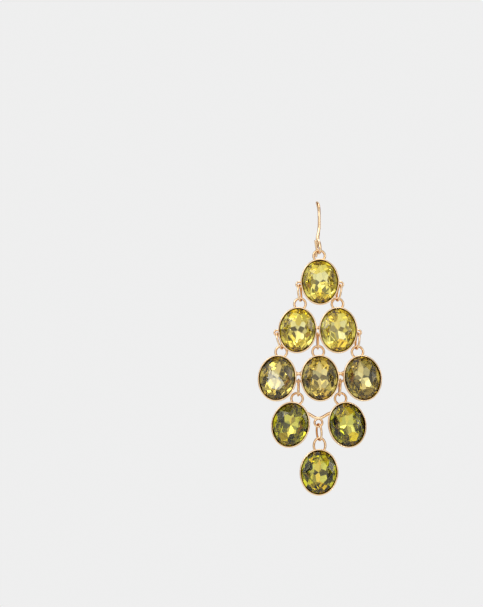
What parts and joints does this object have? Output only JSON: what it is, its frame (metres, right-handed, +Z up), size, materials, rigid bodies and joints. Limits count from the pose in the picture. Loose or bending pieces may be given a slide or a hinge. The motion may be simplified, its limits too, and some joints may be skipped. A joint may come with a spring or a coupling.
{
  "type": "chandelier earring",
  "caption": "Chandelier drop earring: faceted oval stones in cup settings, in five rows that widen and narrow to a point, linked by jump rings and hung from an ear hook.",
  "frame": {"origin": "seat of the ear hook: the underside of the top of its arc, where it bears in the ear's hole", "axes": "+Z up along the hanging earring, the stones face -Y, the hook's rear leg is at +Y, +X to the right of the stones seen from the front"},
  "size_m": [0.0334, 0.0138, 0.0803],
  "materials": {
    "rose_gold_metal": "polished rose gold plating",
    "stone_yellow": "cut glass with a foiled back, light yellow",
    "stone_khaki": "cut glass with a foiled back, smoky khaki",
    "stone_olive": "cut glass with a foiled back, olive green"
  },
  "bodies": {
    "hook": {"ear_hook": "rose_gold_metal"},
    "drop": {"setting_row_1": "rose_gold_metal", "setting_row_2": "rose_gold_metal", "setting_row_3": "rose_gold_metal", "setting_row_4": "rose_gold_metal", "setting_row_5": "rose_gold_metal", "stone_1": "stone_yellow", "stone_2": "stone_yellow", "stone_3": "stone_yellow", "stone_4": "stone_khaki", "stone_5": "stone_khaki", "stone_6": "stone_khaki", "stone_7": "stone_olive", "stone_8": "stone_olive", "stone_9": "stone_olive", "jump_ring_1": "rose_gold_metal", "jump_ring_2": "rose_gold_metal", "jump_ring_3": "rose_gold_metal", "jump_ring_4": "rose_gold_metal", "jump_ring_5": "rose_gold_metal", "jump_ring_6": "rose_gold_metal", "jump_ring_7": "rose_gold_metal", "jump_ring_8": "rose_gold_metal"}
  },
  "joints": [
    {"name": "drop_swing", "type": "hinge", "parent": "hook", "child": "drop", "pos_m": [0, -0.0046, -0.01332], "axis": [1, 0, 0], "range_deg": [-60, 60]}
  ]
}
